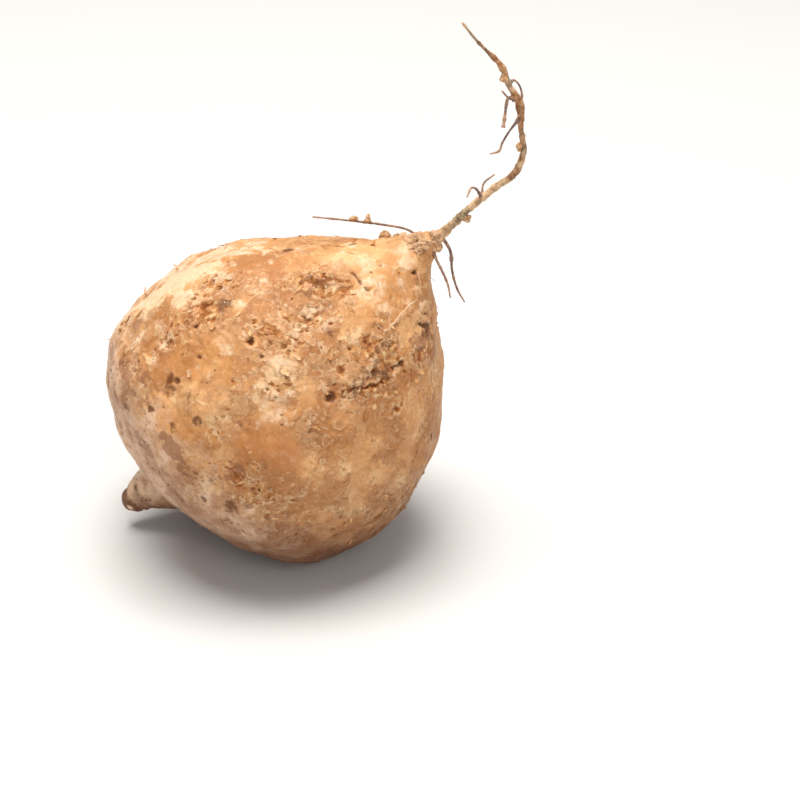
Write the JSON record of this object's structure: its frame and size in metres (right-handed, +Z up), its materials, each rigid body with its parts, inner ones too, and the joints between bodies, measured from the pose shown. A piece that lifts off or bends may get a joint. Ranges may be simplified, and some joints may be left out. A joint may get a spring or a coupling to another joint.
{
  "type": "jicama root",
  "caption": "Whole jicama root lying on its side: round tuber with a stem stump, a thin bent taproot, side rootlets and crumbs of dried soil.",
  "frame": {"origin": "on the small flat spot under the tuber, near its middle", "axes": "+Z up from the surface it rests on; the tuber's axis runs from the crown, low at -X, to the neck and taproot, high at +X; -Y is its front"},
  "size_m": [0.1329, 0.1076, 0.1738],
  "materials": {
    "root_skin": "matte",
    "dry_soil": "matte"
  },
  "bodies": {
    "root": {"jicama_root": "root_skin", "soil_crumb_neck_1": "dry_soil", "soil_crumb_neck_2": "dry_soil", "soil_crumb_rootlet_1": "dry_soil", "soil_crumb_rootlet_2": "dry_soil", "soil_crumb_taproot_1": "dry_soil", "soil_crumb_taproot_2": "dry_soil", "soil_crumb_taproot_3": "dry_soil"}
  },
  "joints": []
}
